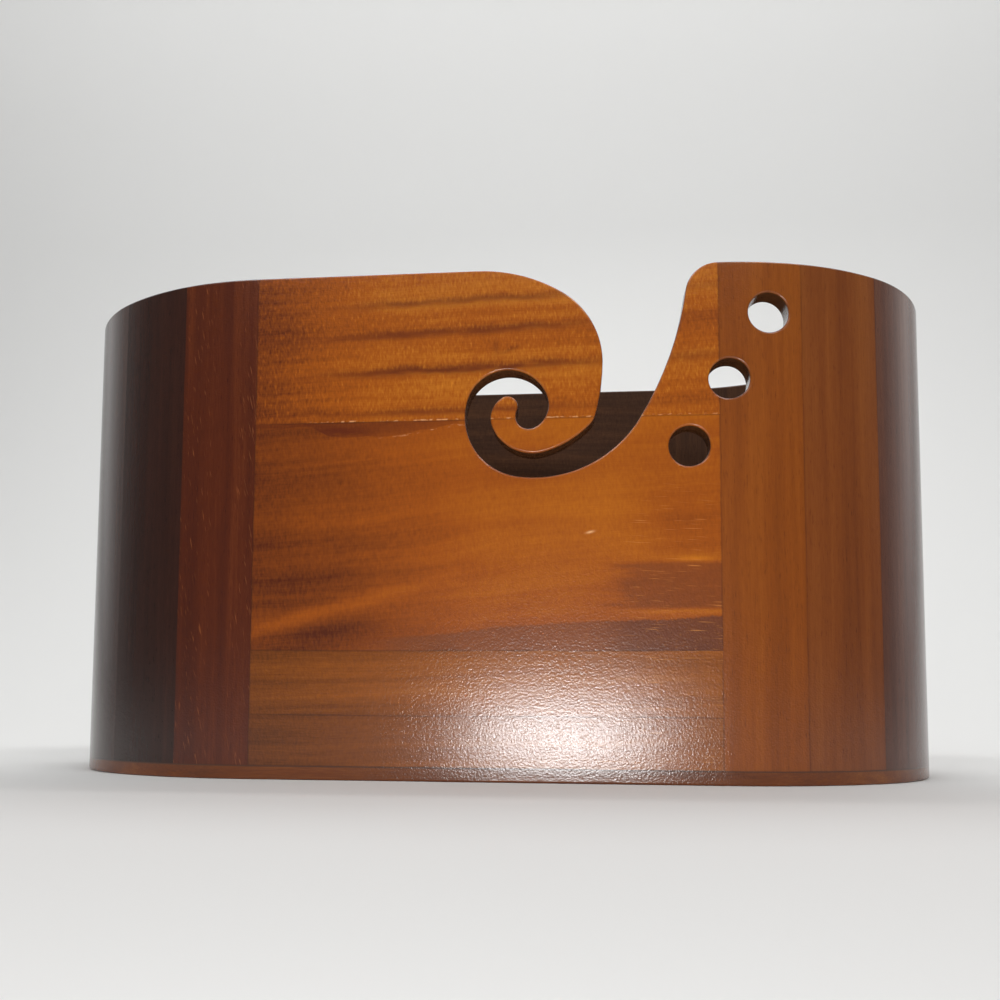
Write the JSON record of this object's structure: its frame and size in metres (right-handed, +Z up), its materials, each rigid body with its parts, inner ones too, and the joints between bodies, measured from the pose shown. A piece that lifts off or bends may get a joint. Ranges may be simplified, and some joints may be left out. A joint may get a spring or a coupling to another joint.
{
  "type": "yarn dispenser box",
  "caption": "Open-top oval wooden box for a ball of yarn, with a curled feeding slot in the front wall, a slanting row of needle holes and half-round stave ends.",
  "frame": {"origin": "middle of the base plate's underside, on the surface the box stands on", "axes": "+Z up; +X along the length, towards the end with the needle holes; the front wall with the slot faces -Y"},
  "size_m": [0.24, 0.104, 0.128],
  "materials": {
    "base_wood": "satin to glossy clear lacquer over red-brown stain, grain along the length",
    "lower_board_wood": "clear lacquer over chestnut-brown stain, soft broad gloss",
    "middle_board_wood": "clear lacquer over amber-brown stain, slanting figure and dark heartwood",
    "top_board_wood": "clear lacquer over golden-brown stain, dark growth streaks and fine ripple",
    "left_stave_wood": "clear lacquer over red-brown stain, short pale pores, upright grain",
    "right_stave_wood": "clear lacquer over orange-brown stain, fine upright grain",
    "end_stave_wood": "clear lacquer over very dark brown stain, upright grain"
  },
  "bodies": {
    "root": {"base_plate": "base_wood", "front_bottom_board": "lower_board_wood", "front_lower_board": "lower_board_wood", "front_middle_board": "middle_board_wood", "front_top_board_left": "top_board_wood", "front_top_board_right": "top_board_wood", "front_curl_crescent": "middle_board_wood", "front_curl_tip": "top_board_wood", "back_bottom_board": "lower_board_wood", "back_lower_board": "lower_board_wood", "back_middle_board": "middle_board_wood", "back_top_board": "middle_board_wood", "left_inner_stave_front": "left_stave_wood", "left_middle_stave_front": "end_stave_wood", "left_end_stave": "end_stave_wood", "left_middle_stave_back": "end_stave_wood", "left_inner_stave_back": "left_stave_wood", "right_inner_stave_front": "right_stave_wood", "right_middle_stave_front": "right_stave_wood", "right_end_stave": "end_stave_wood", "right_middle_stave_back": "right_stave_wood", "right_inner_stave_back": "right_stave_wood"}
  },
  "joints": []
}
